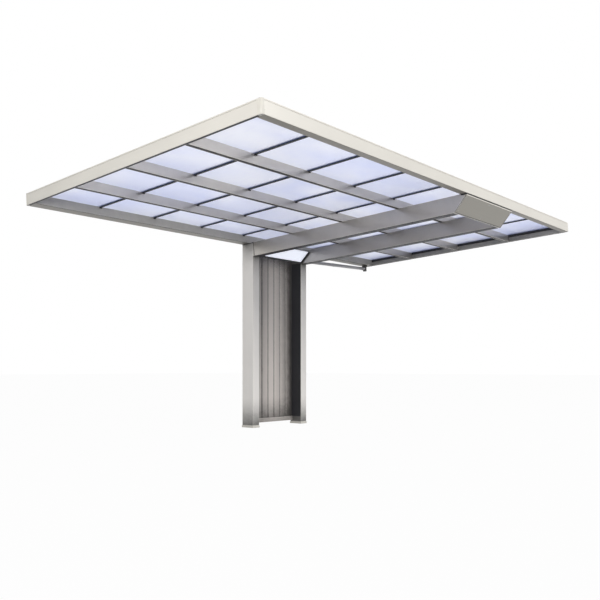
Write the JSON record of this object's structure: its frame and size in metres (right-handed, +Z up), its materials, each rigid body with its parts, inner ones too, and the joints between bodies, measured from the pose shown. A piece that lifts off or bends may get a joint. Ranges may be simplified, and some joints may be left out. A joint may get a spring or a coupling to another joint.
{
  "type": "carport",
  "caption": "One-sided carport: twin posts with a ribbed board wall between them and twin cantilever beams carry a gently sloping roof of frosted sheets in a slim frame.",
  "frame": {"origin": "middle of the first post's foot, where it stands at ground level", "axes": "+X along the roof's length from its left end, +Y from the open front edge back to the posts, +Z up"},
  "size_m": [5.1, 2.8515, 2.3529],
  "materials": {
    "posts_and_beams": "satin anodised",
    "frame": "satin anodised",
    "corner_caps": "satin",
    "purlins": "satin anodised",
    "end_panel": "satin anodised",
    "wall_boards": "satin, ribbed",
    "frosted_sheet": "frosted translucent",
    "light_cover": "frosted white",
    "black_trim": "matt",
    "drain": "satin"
  },
  "bodies": {
    "root": {"post_1": "posts_and_beams", "post_2": "posts_and_beams", "main_beam_1": "posts_and_beams", "main_beam_2": "posts_and_beams", "beam_end_panel": "end_panel", "light_cover": "light_cover", "cover_trim_1": "black_trim", "cover_trim_2": "black_trim", "cover_foot_trim": "black_trim", "wall_boards": "wall_boards", "wall_top_rail": "wall_boards", "wall_bottom_rail": "wall_boards", "front_frame": "frame", "left_frame": "frame", "right_frame": "frame", "gutter": "frame", "corner_front_left": "corner_caps", "corner_front_right": "corner_caps", "corner_rear_left": "corner_caps", "corner_rear_right": "corner_caps", "purlin_1": "purlins", "purlin_2": "purlins", "purlin_3": "purlins", "glazing_bar_1": "black_trim", "glazing_bar_2": "black_trim", "glazing_bar_3": "black_trim", "glazing_bar_4": "black_trim", "glazing_bar_5": "black_trim", "glazing_bar_6": "black_trim", "glazing_bar_7": "black_trim", "roof_sheet_1": "frosted_sheet", "roof_sheet_2": "frosted_sheet", "roof_sheet_3": "frosted_sheet", "roof_sheet_4": "frosted_sheet", "roof_sheet_5": "frosted_sheet", "roof_sheet_6": "frosted_sheet", "roof_sheet_7": "frosted_sheet", "roof_sheet_8": "frosted_sheet", "left_seal": "black_trim", "right_seal": "black_trim", "drain_outlet": "drain", "drain_pipe": "drain", "pipe_sleeve": "drain"}
  },
  "joints": []
}
